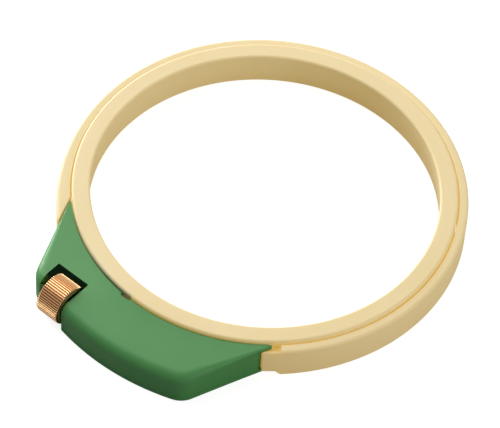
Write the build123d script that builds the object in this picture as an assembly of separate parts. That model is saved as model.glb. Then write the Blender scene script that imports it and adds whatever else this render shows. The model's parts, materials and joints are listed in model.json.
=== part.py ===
from build123d import *
import os
from math import cos, degrees, radians, sin

# Embroidery hoop with a tightening knob in a moulded housing, in millimetres.
# The origin is the centre of the rings on the plane that the hoop rests on, +Z is
# up, and the housing lies towards -Y. Angles round the hoop are counted from -Y,
# positive towards +X.

# Inner ring
opening_radius = 60.0
opening_draft = 0.8
inner_ring_wall = 6.4
inner_ring_height = 13.4
inner_ring_round = 0.9
inner_ring_chamfer = 0.6

# Outer ring, one springy moulding that is split inside the housing
cloth_gap = 0.4
outer_ring_wall = 3.2
outer_ring_height = 12.2
shoulder_round = 1.2
ring_edge_chamfer = 0.3
swell_angle = -80.0
swell_offset = 10.0
fixed_tongue_wall = 5.2
fixed_shoulder_gap = 0.35
moving_shoulder_angle = 45.2
moving_tongue_wall = 1.4
moving_lip_wall = 0.5
moving_lip_gap = 0.3
split_width = 3.6
fixed_lug_length = 9.05
lug_front_gap = 0.5
lug_corner_round = 1.0
lug_seam = 0.3
lug_bridge = 0.65

# Housing
housing_lip = 0.1
housing_depth = 19.9
tip_angle = 43.5
tip_cut_angle = 42.7
corner_angle = 22.8
corner_round = 8.0
crown_width = 3.6
crown_height = 3.8
crown_corner_turn = 0.8
crown_round_share = 0.25
roof_thickness = 1.8
wall_thickness = 1.9
base_thickness = 1.6
tongue_clearance = 0.15
mouth_clearance = 0.3
mouth_angle = 39.8

# Window for the knob and the chamber round it
window_side_wall = 4.35
window_width = 13.0
chamber_wall = 1.4
chamber_back_wall = 1.2
chamber_gap = 0.25
saddle_share = 0.6

# Knob
knob_radius = 7.3
knob_width = 9.2
knob_overhang = 0.3
knob_floor_gap = 0.2
knob_window_gap = 0.3
knob_chamfer = 0.6
knob_ridges = 52
knob_groove_depth = 0.4
ridge_top_share = 0.3
knob_bore_gap = 0.02

# Screw, thrust washer and retaining clip
screw_radius = 1.5
screw_seat_radius = 2.0
journal_radius = 0.8
screw_pitch = 0.5
screw_turns = 7
screw_end_length = 1.0
screw_chamfer = 0.3
bearing_gap = 0.05
screw_hole_gap = 0.3
washer_radius = 3.0
washer_thickness = 0.4
clip_radius = 2.7
clip_thickness = 0.6
clip_groove_depth = 0.3
clip_mouth_share = 0.8

# Barrel nut
nut_radius = 2.5
nut_height = 5.4
nut_gap = 0.3
nut_wall = 1.6
nut_chamfer = 0.3

# Cover screws and the bosses that take them
boss_radius = 2.4
boss_angle = 26.6
boss_gap = 0.25
peg_gap = 0.15
fixing_radius = 1.0
fixing_length = 8.0
fixing_head_radius = 1.9
fixing_head_height = 0.9
fixing_recess = 0.1
fixing_pilot_gap = 0.05
fixing_hole_gap = 0.2

# Construction
crown_steps = 6
side_overrun_share = 0.3
overrun = 2.0

# Radii and heights that follow from the sizes above
inner_ring_radius = opening_radius + inner_ring_wall
ring_radius = inner_ring_radius + cloth_gap
ring_outer_radius = ring_radius + outer_ring_wall
fixed_tongue_radius = ring_radius + fixed_tongue_wall
moving_tongue_radius = ring_radius + moving_tongue_wall
moving_lip_angle = mouth_angle + degrees(moving_lip_gap / ring_outer_radius)
housing_radius = ring_radius - housing_lip
front_radius = housing_radius + housing_depth
lug_front_radius = front_radius - wall_thickness - lug_front_gap
reach = 2 * front_radius
screw_z = knob_radius + knob_floor_gap
moving_bore_radius = screw_radius + 2 * screw_hole_gap
tongue_bottom = base_thickness + tongue_clearance
tongue_top = screw_z + moving_bore_radius + lug_bridge
roof_z = tongue_top + tongue_clearance
cover_z = roof_z + roof_thickness
crown_z = cover_z - crown_height

# Places along and across the screw
window_left_x = window_side_wall - front_radius * sin(radians(corner_angle))
window_right_x = window_left_x + window_width
chamber_left_x = window_left_x - chamber_wall
chamber_right_x = window_right_x + chamber_wall
screw_y = knob_radius - front_radius - knob_overhang
window_back_y = screw_y + knob_radius + knob_window_gap
chamber_back_y = window_back_y + chamber_back_wall
washer_x = window_right_x - bearing_gap - washer_thickness
knob_left_x = washer_x - knob_width
fixed_lug_x = chamber_right_x + lug_seam
split_x = fixed_lug_x + fixed_lug_length
moving_end_x = split_x + split_width
nut_bore_radius = nut_radius + nut_gap
nut_x = moving_end_x + nut_wall + nut_bore_radius
moving_lug_x = nut_x + nut_bore_radius + nut_wall
clip_x = split_x + bearing_gap
screw_left_x = chamber_left_x + bearing_gap
screw_right_x = nut_x + nut_radius + screw_pitch * screw_turns + screw_end_length
boss_distance = fixed_tongue_radius + mouth_clearance + boss_gap + boss_radius
peg_x = (fixed_lug_x + split_x) / 2
peg_y = screw_y + screw_radius + screw_hole_gap + nut_wall + boss_radius


def polar(radius, angle):
    """A point at an angle from -Y, positive towards +X."""
    return (radius * sin(radians(angle)), -radius * cos(radians(angle)))


def block(x0, x1, y0, y1, z0, z1):
    """A box between two corners."""
    middle = Pos((x0 + x1) / 2, (y0 + y1) / 2, (z0 + z1) / 2)
    return middle * Box(x1 - x0, y1 - y0, z1 - z0)


def post(x, y, z0, z1, radius):
    """An upright cylinder."""
    return Pos(x, y, (z0 + z1) / 2) * Cylinder(radius, z1 - z0)


def rod(x0, x1, radius):
    """A cylinder on the screw's axis."""
    return Pos((x0 + x1) / 2, screw_y, screw_z) * Rot(0, 90, 0) * Cylinder(radius, x1 - x0)


def slab(outline, z0, z1):
    """A flat outline given thickness between two heights."""
    return Pos(0, 0, z0) * extrude(outline, z1 - z0)


def wedge(start, end):
    """Plan of everything between two angles less than a half turn apart."""
    return make_face(Polyline((0, 0), polar(reach, start), polar(reach, end), close=True))


# Rings

def inner_ring():
    """Plain ring whose opening widens a little towards the foot."""
    section = make_face(
        Polyline(
            (opening_radius + opening_draft, 0),
            (inner_ring_radius, 0),
            (inner_ring_radius, inner_ring_height),
            (opening_radius, inner_ring_height),
            close=True,
        )
    )
    section = fillet(section.vertices().sort_by(Axis.Y)[2:], inner_ring_round)
    section = chamfer(section.vertices().sort_by(Axis.Y)[:2], inner_ring_chamfer)
    return revolve(Plane.XZ * section, Axis.Z)


def ring_section(inside, outside):
    """Upright rectangle with a rounded outer shoulder; the other corners are eased."""
    section = make_face(
        Polyline(
            (inside, 0),
            (outside, 0),
            (outside, outer_ring_height),
            (inside, outer_ring_height),
            close=True,
        )
    )
    section = fillet(section.vertices().sort_by(lambda v: v.X + v.Y)[-1], shoulder_round)
    section = chamfer(section.vertices().sort_by(lambda v: v.X + v.Y)[:3], ring_edge_chamfer)
    return Plane.XZ * section


def ring_arc(start, end, outside=ring_outer_radius):
    """The outer ring's section carried round from one angle to another."""
    return Rot(0, 0, start - 90) * revolve(ring_section(ring_radius, outside), Axis.Z, end - start)


def lug(x0, x1, bore_radius):
    """Block on a tongue that stands out to the front of the housing, bored for the screw."""
    body = block(x0, x1, -reach, -ring_radius / 2, tongue_bottom, tongue_top)
    body = body & post(0, 0, tongue_bottom, tongue_top, lug_front_radius)
    body = fillet(body.edges().filter_by(Axis.Z).sort_by(Axis.Y)[:2], lug_corner_round)
    body = body - post(0, 0, 0, cover_z, ring_radius)
    return body - rod(x0 - overrun, x1 + overrun, bore_radius)


def outer_ring_back():
    """Half of the outer ring, away from the housing."""
    return ring_arc(90, 270)


def outer_ring_fixed_end():
    """Quarter that thickens towards the housing, with its tongue and pegged lug."""
    centre_x, centre_y = polar(-swell_offset, swell_angle)
    swell_section = ring_section(0, ring_outer_radius + swell_offset)
    swell = Pos(centre_x, centre_y, 0) * revolve(swell_section, Axis.Z)
    quarter = ring_arc(-90, swell_angle) + (ring_arc(swell_angle, 0, front_radius) & swell)
    inside_housing = slab(offset(side_lines(), fixed_shoulder_gap), 0, reach)
    tongue = quarter & inside_housing & post(0, 0, tongue_bottom, tongue_top, fixed_tongue_radius)
    tongue = tongue & block(-reach, split_x, -reach, 0, 0, reach)
    end = (quarter - inside_housing) + tongue
    end = end - knob_chamber(chamber_gap)
    end = end + lug(fixed_lug_x, split_x, screw_radius + screw_hole_gap)
    return end - post(peg_x, peg_y, 0, cover_z, boss_radius)


def moving_shoulder():
    """Quarter with a pocket over the housing's tip and a ramp that lifts its foot over the base."""
    quarter = ring_arc(moving_lip_angle, 90)
    pocket = post(0, 0, tongue_top, reach, ring_outer_radius - moving_lip_wall)
    quarter = quarter - (pocket & slab(wedge(0, moving_shoulder_angle), 0, reach))
    along = (cos(radians(moving_shoulder_angle)), sin(radians(moving_shoulder_angle)), 0)
    outwards = (along[1], -along[0], 0)
    ramp = Polyline(
        (overrun, -overrun),
        (-tongue_bottom, tongue_bottom),
        (-reach, tongue_bottom),
        (-reach, -overrun),
        close=True,
    )
    return quarter - extrude(Plane((0, 0, 0), x_dir=along, z_dir=outwards) * make_face(ramp), reach)


def outer_ring_moving_end():
    """Quarter whose tongue slides in the housing, with the lug that holds the nut."""
    tongue = post(0, 0, tongue_bottom, tongue_top, moving_tongue_radius)
    tongue = tongue - post(0, 0, 0, reach, ring_radius)
    tongue = tongue & slab(wedge(tip_angle - 90, moving_shoulder_angle), 0, reach)
    tongue = tongue & block(moving_end_x, reach, -reach, 0, 0, reach)
    end = moving_shoulder() + tongue
    end = end + lug(moving_end_x, moving_lug_x, moving_bore_radius)
    return end - post(nut_x, screw_y, 0, cover_z, nut_bore_radius)


# Housing

def side_lines(corner_radius=front_radius, angle=corner_angle):
    """Plan between the two straight sides, running past the inner and front arcs."""
    tip_x, tip_y = polar(housing_radius, tip_angle)
    corner_x, corner_y = polar(corner_radius, angle)
    step_x = (corner_x - tip_x) * side_overrun_share
    step_y = (corner_y - tip_y) * side_overrun_share
    return make_face(
        Polyline(
            (tip_x - step_x, tip_y - step_y),
            (corner_x + step_x, corner_y + step_y),
            (-corner_x - step_x, corner_y + step_y),
            (step_x - tip_x, tip_y - step_y),
            close=True,
        )
    )


def housing_plan(inset=0.0, turn=0.0, round_radius=corner_round):
    """Plan between the inner arc and the front arc, with rounded front corners."""
    plan = side_lines(front_radius - inset, corner_angle - turn) & Circle(front_radius - inset)
    plan = plan - Circle(housing_radius)
    return fillet(plan.vertices().sort_by(Axis.Y)[:2], round_radius)


def crown():
    """Top of the housing, whose edge rounds over more and more towards the front."""
    sections = []
    for step in range(crown_steps + 1):
        lean = radians(90 * step / crown_steps)
        share = 1 - cos(lean)
        plan = housing_plan(
            crown_width * share,
            crown_corner_turn * share,
            corner_round * (1 - crown_round_share * share),
        )
        sections.append(Pos(0, 0, crown_z + crown_height * sin(lean)) * plan)
    return loft(sections, ruled=True)


def cavity():
    """Hollow under the roof, with the passages for the two tongues."""
    hollow = offset(side_lines(), -wall_thickness) & Circle(front_radius - wall_thickness)
    hollow = fillet(hollow.vertices().sort_by(Axis.Y)[:2], corner_round - wall_thickness)
    space = slab(hollow, 0, roof_z)
    fixed_side = post(0, 0, 0, roof_z, fixed_tongue_radius + mouth_clearance)
    moving_side = post(0, 0, 0, roof_z, moving_tongue_radius + mouth_clearance)
    space = space + (fixed_side & block(-reach, 0, -reach, 0, 0, roof_z))
    space = space + (moving_side & block(0, reach, -reach, 0, 0, roof_z))
    return space + slab(wedge(mouth_angle, 90), 0, roof_z)


def knob_chamber(gap=0.0):
    """The block of walls round the knob, or with a gap the space that it needs."""
    back_y = chamber_back_y + gap
    return block(chamber_left_x - gap, chamber_right_x + gap, -reach, back_y, -overrun, reach)


def window():
    """Space for the knob, open at the top, the front and the foot."""
    return block(window_left_x, window_right_x, -reach, window_back_y, -overrun, reach)


def bosses():
    """Place and radius of the two screw bosses and of the peg for the fixed lug."""
    places = [(*polar(boss_distance, side * boss_angle), boss_radius) for side in (-1, 1)]
    return places + [(peg_x, peg_y, boss_radius - peg_gap)]


def bearings():
    """The x range and shaft radius of the two chamber walls that carry the screw."""
    left = (chamber_left_x, window_left_x, journal_radius)
    right = (window_right_x, chamber_right_x, screw_radius)
    return [left, right]


def housing_cover():
    """Shell with a chamber round the knob, two bosses and the fixed lug's peg."""
    shell = slab(housing_plan(), base_thickness, crown_z) + crown()
    shell = shell & slab(wedge(-tip_cut_angle, tip_cut_angle), 0, cover_z)
    shell = shell - (cavity() - knob_chamber())
    shell = shell - window()
    for x0, x1, radius in bearings():
        half_width = radius + bearing_gap
        shell = shell - rod(x0, x1, half_width)
        shell = shell - block(x0, x1, screw_y - half_width, screw_y + half_width, -overrun, screw_z)
    for x, y, radius in bosses():
        shell = shell + post(x, y, base_thickness, (roof_z + cover_z) / 2, radius)
    for x, y, radius in bosses():
        shell = shell - post(x, y, 0, fixing_length + fixing_radius, fixing_radius + fixing_pilot_gap)
    return shell


def housing_base():
    """Plate that closes the housing from below, with saddles under the screw."""
    plate = slab(housing_plan(), 0, base_thickness)
    plate = plate & slab(wedge(-tip_cut_angle, tip_cut_angle), 0, base_thickness)
    plate = plate - window()
    for x0, x1, radius in bearings():
        top = screw_z - radius * saddle_share
        saddle = block(x0, x1, screw_y - radius, screw_y + radius, base_thickness / 2, top)
        plate = plate + (saddle - rod(x0, x1, radius + bearing_gap))
    for x, y, radius in bosses():
        plate = plate - fixing(x, y, fixing_hole_gap)
    return plate


def fixing(x, y, gap=0.0):
    """Countersunk cover screw, or with a gap the hole for it."""
    head_z = fixing_recess
    neck_z = head_z + fixing_head_height
    shank = post(x, y, neck_z, fixing_recess + fixing_length, fixing_radius + gap)
    cone = Cone(fixing_head_radius + gap, fixing_radius + gap, fixing_head_height)
    head = Pos(x, y, (head_z + neck_z) / 2) * cone
    if gap:
        head = head + post(x, y, -overrun, head_z, fixing_head_radius + gap)
    return head + shank


def cover_screws():
    """The screws that hold the base to the cover."""
    return Compound(children=[fixing(x, y) for x, y, radius in bosses()])


# Adjuster

def adjuster_knob():
    """Thumb wheel with straight ridges and chamfered rims."""
    points = []
    pitch = 360 / knob_ridges
    for ridge in range(knob_ridges):
        middle = ridge * pitch
        half_top = pitch * ridge_top_share / 2
        points.append(polar(knob_radius, middle - half_top))
        points.append(polar(knob_radius, middle + half_top))
        points.append(polar(knob_radius - knob_groove_depth, middle + pitch / 2))
    ridged = extrude(make_face(Polyline(*points, close=True)), knob_width / 2, both=True)
    blank = Cylinder(knob_radius, knob_width)
    blank = chamfer(blank.edges().filter_by(GeomType.CIRCLE), knob_chamfer)
    wheel = ridged & blank
    wheel = Pos(knob_left_x + knob_width / 2, screw_y, screw_z) * Rot(0, 90, 0) * wheel
    return wheel - rod(knob_left_x, washer_x, screw_seat_radius + knob_bore_gap)


def adjuster_screw():
    """Threaded spindle with a journal, a seat for the knob and a groove for the clip."""
    spindle = rod(knob_left_x, screw_right_x, screw_radius)
    spindle = chamfer(spindle.edges().filter_by(GeomType.CIRCLE), screw_chamfer)
    spindle = spindle + rod(knob_left_x, washer_x, screw_seat_radius)
    spindle = spindle + rod(screw_left_x, knob_left_x + screw_radius, journal_radius)
    groove = rod(clip_x, clip_x + clip_thickness, screw_radius + overrun)
    return spindle - (groove - rod(clip_x, clip_x + clip_thickness, screw_radius - clip_groove_depth))


def thrust_washer():
    """Washer between the knob and the chamber wall."""
    disc = rod(washer_x, washer_x + washer_thickness, washer_radius)
    return disc - rod(washer_x, washer_x + washer_thickness, screw_radius + bearing_gap)


def retaining_clip():
    """Open clip in the screw's groove, behind the fixed lug."""
    seat_radius = screw_radius - clip_groove_depth
    right_x = clip_x + clip_thickness
    clip = rod(clip_x, right_x, clip_radius) - rod(clip_x, right_x, seat_radius)
    half_mouth = seat_radius * clip_mouth_share
    return clip - block(clip_x, right_x, screw_y - half_mouth, screw_y + half_mouth, 0, screw_z)


def barrel_nut():
    """Upright cross dowel that the screw runs through."""
    nut = post(nut_x, screw_y, screw_z - nut_height / 2, screw_z + nut_height / 2, nut_radius)
    nut = chamfer(nut.edges().filter_by(GeomType.CIRCLE), nut_chamfer)
    return nut - rod(nut_x - nut_bore_radius, nut_x + nut_bore_radius, screw_radius + bearing_gap)


parts = {
    "inner_ring": inner_ring(),
    "outer_ring_fixed_end": outer_ring_fixed_end(),
    "outer_ring_back": outer_ring_back(),
    "outer_ring_moving_end": outer_ring_moving_end(),
    "housing_cover": housing_cover(),
    "housing_base": housing_base(),
    "cover_screws": cover_screws(),
    "adjuster_knob": adjuster_knob(),
    "adjuster_screw": adjuster_screw(),
    "thrust_washer": thrust_washer(),
    "retaining_clip": retaining_clip(),
    "barrel_nut": barrel_nut(),
}

os.makedirs("parts", exist_ok=True)
for name, shape in parts.items():
    export_step(shape, f"parts/{name}.step")
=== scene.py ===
import json
from math import asin, atan2, cos, degrees, hypot, pi, radians, sin

import bmesh
import bpy
from mathutils import Matrix, Vector

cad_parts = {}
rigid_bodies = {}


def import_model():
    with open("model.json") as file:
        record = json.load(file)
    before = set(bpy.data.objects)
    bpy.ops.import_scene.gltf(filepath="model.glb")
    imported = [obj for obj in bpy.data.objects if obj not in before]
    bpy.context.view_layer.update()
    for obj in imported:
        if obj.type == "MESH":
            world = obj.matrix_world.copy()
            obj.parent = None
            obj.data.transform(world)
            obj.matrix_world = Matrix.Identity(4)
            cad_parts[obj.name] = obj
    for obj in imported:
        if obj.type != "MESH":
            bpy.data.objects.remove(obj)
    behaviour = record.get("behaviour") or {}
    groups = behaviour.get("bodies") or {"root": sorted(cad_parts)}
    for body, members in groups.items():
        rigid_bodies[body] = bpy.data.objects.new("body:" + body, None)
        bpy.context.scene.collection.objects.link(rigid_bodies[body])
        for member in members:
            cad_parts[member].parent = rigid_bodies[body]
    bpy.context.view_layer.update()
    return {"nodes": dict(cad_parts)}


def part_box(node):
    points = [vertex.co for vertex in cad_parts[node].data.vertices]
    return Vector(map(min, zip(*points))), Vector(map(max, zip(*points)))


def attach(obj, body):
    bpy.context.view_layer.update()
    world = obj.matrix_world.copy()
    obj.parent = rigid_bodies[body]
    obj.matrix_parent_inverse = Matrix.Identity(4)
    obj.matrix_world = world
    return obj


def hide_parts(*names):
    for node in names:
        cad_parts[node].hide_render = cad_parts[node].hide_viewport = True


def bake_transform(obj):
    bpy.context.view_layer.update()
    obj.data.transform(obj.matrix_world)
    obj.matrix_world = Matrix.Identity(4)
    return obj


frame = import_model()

bl_info = {
    "name": "Embroidery Hoop",
    "version": (1, 0, 0),
    "blender": (4, 5, 0),
    "location": "View3D > Sidebar > Hoop",
    "description": "Models the visible pieces of an embroidery hoop round its packed frame",
    "category": "Object",
}

# The frame's origin is the centre of the rings on the table, +Z is up and the housing lies towards -Y.
# Angles round the hoop are counted from -Y, positive towards +X. Lengths are metres.

MM = 0.001
OVER = 1 * MM  # how far a cutting tool stands out of what it cuts
FAR = 0.2  # past every piece, for cuts that go right through
WELL_INSIDE = 0.9  # share of a radius that lies well inside the ring
CORNER_TIGHTENING = 0.25  # share of their radius that the front corners lose towards the top
TIP_CROWN = 0.16  # share of the crown's height that is left at the tips
BEARING_PLAY = 0.05 * MM
PEG_PLAY = 0.15 * MM
PILOT_TOP = 9 * MM  # where the cover screws' holes end in the bosses
PILOT_RADIUS = 1 * MM
HOLE_PLAY = 0.2 * MM  # round a cover screw's shank in the base
HEAD_PLAY = 0.3 * MM  # round its head
SINK_PLAY = 0.1 * MM  # over its head
GRAIN_HEIGHT = 0.02 * MM
TOOL_MARK_HEIGHT = 0.01 * MM
SCATTER_RADII = (1.0, 0.6, 0.3)  # how far red, green and blue light wander in the ring plastic
SCATTER_DEPTH = 2.0 * MM  # how far the red does
MOST_SOIL = 0.22  # share of the dark colour in the cloudy patches
MOST_GROOVE_SHADE = 0.85  # share of the dark colour painted into the knob's grooves as shade

inner_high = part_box("inner_ring")[1]
back_low, back_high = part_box("outer_ring_back")
cover_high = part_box("housing_cover")[1]
knob_low, knob_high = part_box("adjuster_knob")
screw_low, screw_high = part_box("adjuster_screw")
knob_axis_y = (knob_low.y + knob_high.y) / 2
knob_axis_z = (knob_low.z + knob_high.z) / 2


def length(name, description, default, **options):
    """A length that a user may change, shown in the scene's units."""
    return bpy.props.FloatProperty(
        name=name, description=description, default=default, min=0.0, unit="LENGTH", precision=5, **options
    )


def position(name, description, default):
    """A place on one of the axes."""
    return bpy.props.FloatProperty(
        name=name, description=description, default=default, unit="LENGTH", precision=5
    )


def number(name, description, default):
    """An angle in degrees, or another number without a unit."""
    return bpy.props.FloatProperty(name=name, description=description, default=default)


def count(name, description, default):
    """A number of copies or steps."""
    return bpy.props.IntProperty(name=name, description=description, default=default, min=1)


def share(name, description, default):
    """A number from 0 to 1."""
    return bpy.props.FloatProperty(name=name, description=description, default=default, min=0.0, max=1.0)


def colour(name, description, default):
    """A linear colour."""
    return bpy.props.FloatVectorProperty(
        name=name, description=description, default=default, subtype="COLOR", size=3, min=0.0, max=1.0
    )


class RingSizes(bpy.types.PropertyGroup):
    """Sizes of the two rings."""

    opening_radius: length("Opening Radius", "Radius of the opening at the top of the inner ring", 60 * MM)
    opening_draft: length("Opening Draft", "How much wider the opening is at the foot", 0.8 * MM)
    inner_round: length("Inner Round", "Rounding of the inner ring's upper edges", 0.9 * MM)
    inner_chamfer: length("Inner Chamfer", "Chamfer of the inner ring's foot", 0.6 * MM)
    outer_inside: length("Outer Inside", "Inner radius of the outer ring", 66.8 * MM)
    shoulder_round: length("Shoulder Round", "Rounding of the outer ring's upper shoulder", 1.2 * MM)
    edge_round: length("Edge Round", "Easing of the outer ring's other edges", 0.35 * MM)
    swell_angle: number("Swell Angle", "Where the fixed end starts to thicken", -80.0)
    swell_offset: length("Swell Offset", "Shift of the thickened end's outer arc", 10 * MM)
    fixed_tongue_wall: length("Fixed Tongue Wall", "Thickness of the fixed end's tongue", 5.2 * MM)
    fixed_gap: length("Fixed Gap", "Seam between the fixed end and the housing", 0.35 * MM)
    tongue_clearance: length("Tongue Clearance", "Play under and over the tongues", 0.15 * MM)
    shoulder_angle: number("Shoulder Angle", "Where the moving end's pocket and ramp begin", 45.2)
    lip_angle: number("Lip Angle", "Where the moving end's lip stops in front of the housing", 40.05)
    lip_wall: length("Lip Wall", "Thickness of the moving end's lip", 0.5 * MM)
    moving_tongue_wall: length("Moving Tongue Wall", "Thickness of the moving end's tongue", 1.4 * MM)
    lug_back: length("Lug Back", "From the ring to the back of the lugs", 0.2 * MM)
    fixed_lug_left: position("Fixed Lug Left", "Its place across the hoop", -14.51 * MM)
    fixed_lug_right: position("Fixed Lug Right", "Its place across the hoop", -5.46 * MM)
    moving_lug_left: position("Moving Lug Left", "Its place across the hoop", -1.86 * MM)
    moving_lug_right: position("Moving Lug Right", "Its place across the hoop", 6.94 * MM)
    fixed_bore: length("Fixed Bore", "Radius of the fixed lug's bore", 1.8 * MM)
    moving_bore: length("Moving Bore", "Radius of the moving lug's bore", 2.1 * MM)
    nut_bore: length("Nut Bore", "Radius of the upright bore for the nut", 2.8 * MM)
    lug_front_gap: length("Lug Front Gap", "Space between the lugs and the housing's front wall", 0.5 * MM)
    steps: count("Steps", "Segments of a full turn", 360)


class HousingSizes(bpy.types.PropertyGroup):
    """Sizes of the housing's two shells."""

    inner_radius: length("Inner Radius", "Radius of the arc along the inner ring", 66.7 * MM)
    front_radius: length("Front Radius", "Radius of the front arc", 86.6 * MM)
    tip_angle: number("Tip Angle", "Angle of the pointed ends", 43.5)
    tip_cut: number("Tip Cut", "Angle at which the points are blunted", 42.7)
    corner_angle: number("Corner Angle", "Angle of the front corners before rounding", 22.8)
    corner_round: length("Corner Round", "Radius of the front corners", 8 * MM)
    crown_width: length("Crown Width", "How far the front edge rounds over", 3.6 * MM)
    crown_height: length("Crown Height", "How far down the rounding reaches", 3.8 * MM)
    crown_turn: number("Crown Turn", "How far the corners draw in at the top", 0.8)
    crown_steps: count("Crown Steps", "Bands of the rounding", 10)
    wall: length("Wall", "Thickness of the side walls", 1.9 * MM)
    roof: length("Roof", "Thickness of the roof", 1.8 * MM)
    base: length("Base", "Thickness of the base plate", 1.6 * MM)
    mouth_clearance: length("Mouth Clearance", "Play round the tongues in the mouths", 0.3 * MM)
    window_side_wall: length("Window Side Wall", "From the front corner to the window", 4.35 * MM)
    window_width: length("Window Width", "Width of the knob's window", 13 * MM)
    window_gap: length("Window Gap", "Space behind the knob", 0.3 * MM)
    chamber_wall: length("Chamber Wall", "Side walls of the knob's chamber", 1.4 * MM)
    chamber_back_wall: length("Chamber Back Wall", "Back wall of the knob's chamber", 1.2 * MM)
    edge_round: length("Edge Round", "Easing of the mould's edges", 0.22 * MM)
    mouth_angle: number("Mouth Angle", "Where the right side wall stops", 39.8)
    boss_radius: length("Boss Radius", "Radius of the screw bosses", 2.4 * MM)
    boss_distance: length("Boss Distance", "From the rings' centre to the side bosses", 74.95 * MM)
    boss_angle: number("Boss Angle", "Angle of the side bosses", 26.6)
    peg_x: position("Peg X", "Place of the fixed lug's peg", -9.985 * MM)
    peg_y: position("Peg Y", "Place of the fixed lug's peg", -73.8 * MM)
    split_notch: length("Split Notch", "Depth of the relief over the ring's split", 0.7 * MM)


class KnobSizes(bpy.types.PropertyGroup):
    """Sizes of the thumb knob."""

    ridges: count("Ridges", "Straight ridges round the knob", 52)
    groove_depth: length("Groove Depth", "Depth of the grooves between the ridges", 0.45 * MM)
    chamfer: length("Chamfer", "Chamfer of both rims", 0.6 * MM)
    face_rim: length("Face Rim", "Width of the flat rim round each end face", 1.6 * MM)
    face_recess: length("Face Recess", "Depth of the recess in each end face", 0.4 * MM)
    bore: length("Bore", "Radius of the bore for the screw's seat", 2.02 * MM)


class ScrewSizes(bpy.types.PropertyGroup):
    """Sizes of the screw and of the cover screws."""

    radius: length("Radius", "Outer radius of the thread", 1.5 * MM)
    journal_radius: length("Journal Radius", "Radius of the left end", 0.8 * MM)
    seat_radius: length("Seat Radius", "Radius of the knob's seat", 2 * MM)
    pitch: length("Pitch", "Advance of one turn", 0.5 * MM)
    thread_depth: length("Thread Depth", "Depth of the thread", 0.24 * MM)
    clip_groove: length("Clip Groove", "Depth of the groove for the clip", 0.3 * MM)
    end_chamfer: length("End Chamfer", "Chamfer of the screw's free end", 0.3 * MM)
    sides: count("Sides", "Sides of a screw", 32)
    samples: count("Samples", "Rows of points in one turn of thread", 8)
    head_radius: length("Head Radius", "Radius of a cover screw's head", 1.9 * MM)
    head_height: length("Head Height", "Height of a cover screw's head", 0.9 * MM)
    shank_radius: length("Shank Radius", "Radius of a cover screw's shank", 1 * MM)
    cover_pitch: length("Cover Pitch", "Advance of a cover screw in one turn", 0.8 * MM)
    cover_depth: length("Cover Depth", "Depth of a cover screw's thread", 0.26 * MM)
    cross_width: length("Cross Width", "Width of the cross in a cover screw's head", 0.42 * MM)
    cross_length: length("Cross Length", "Length of the cross in a cover screw's head", 1.9 * MM)
    cross_depth: length("Cross Depth", "Depth of the cross in a cover screw's head", 0.55 * MM)


class Colours(bpy.types.PropertyGroup):
    """Colours of the finishes."""

    cream: colour("Cream", "Ring plastic", (0.64, 0.585, 0.415))
    cream_deep: colour("Deep Cream", "Ring plastic where it is densest", (0.62, 0.545, 0.355))
    # Cream Glow is painted light: a warm glow that the ring plastic sends out to brighten its shaded sides.
    cream_painted_light: colour("Cream Glow", "Light that leaves the ring plastic's depth", (0.41, 0.285, 0.065))
    green: colour("Green", "Housing plastic", (0.083, 0.30, 0.083))
    green_deep: colour("Deep Green", "Housing plastic in its darker flow marks", (0.065, 0.25, 0.066))
    brass: colour("Brass", "Turned brass", (0.86, 0.55, 0.28))
    # Dark Brass serves both as soil in cloudy patches and as painted shade in the knob's grooves.
    brass_soil_and_shade: colour("Dark Brass", "Tarnish in the grooves", (0.20, 0.06, 0.02))
    steel: colour("Steel", "Plated steel", (0.56, 0.57, 0.58))
    steel_dark: colour("Dark Steel", "Oil and soil on the steel", (0.22, 0.21, 0.20))


class StageSizes(bpy.types.PropertyGroup):
    """The camera at the photograph's viewing angle, the floor and the lamps."""

    heading: number("Heading", "Turn of the view from +Y towards +X", -38.1065)
    elevation: number("Elevation", "Height of the camera above the table", 50.6877)
    roll: number("Roll", "Turn of the camera round its own axis", 3.7377)
    distance: length("Distance", "From the camera to the rings' plane centre", 1.03888)
    focal_length: number("Focal Length", "Lens in millimetres", 216.0)
    centre_pixel_x: number("Centre X", "Ring centre in the image", 263.73)
    centre_pixel_y: number("Centre Y", "Ring centre in the image", 211.31)
    floor_size: length("Floor Size", "Side of the floor", 6.0)
    floor_grey: share("Floor Grey", "How much light the floor sends back", 0.45)
    floor_glow: share("Floor Glow", "How far the seen floor is lifted to white", 0.85)
    sky: share("Sky", "Strength of the even light from all sides", 0.17)
    sheen_sky: share("Sheen Sky", "Strength of the surroundings that glossy surfaces mirror", 0.7)


# Selecting and shaping

def deselect_all():
    """Nothing stays selected or active."""
    for other in bpy.context.view_layer.objects:
        other.select_set(False)
    bpy.context.view_layer.objects.active = None


def activate(piece):
    """Makes piece the only selected object."""
    deselect_all()
    piece.select_set(True)
    bpy.context.view_layer.objects.active = piece


def new_piece(name):
    """The primitive that was just added, named, with its place moved into its mesh."""
    piece = bpy.context.active_object
    piece.name = name
    piece.data.name = name
    bpy.ops.object.transform_apply(location=True, rotation=True, scale=True)
    return piece


def edit(piece, select_mode="VERT"):
    """Opens piece in edit mode with nothing selected."""
    activate(piece)
    bpy.ops.object.mode_set(mode="EDIT")
    bpy.ops.mesh.select_mode(type=select_mode)
    bpy.ops.mesh.select_all(action="DESELECT")


def edit_all(piece):
    """Opens piece in edit mode with everything selected."""
    edit(piece)
    bpy.ops.mesh.select_all(action="SELECT")


def close_edit():
    """Leaves edit mode."""
    bpy.ops.object.mode_set(mode="OBJECT")


def pick(piece, vertex=None, edge=None, face=None):
    """Selects the vertices, edges or faces of the edited piece that pass the test."""
    mesh = bmesh.from_edit_mesh(piece.data)
    for elements, test in ((mesh.verts, vertex), (mesh.edges, edge), (mesh.faces, face)):
        if test:
            for element in elements:
                element.select_set(test(element))
    mesh.select_flush_mode()
    bmesh.update_edit_mesh(piece.data)


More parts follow.
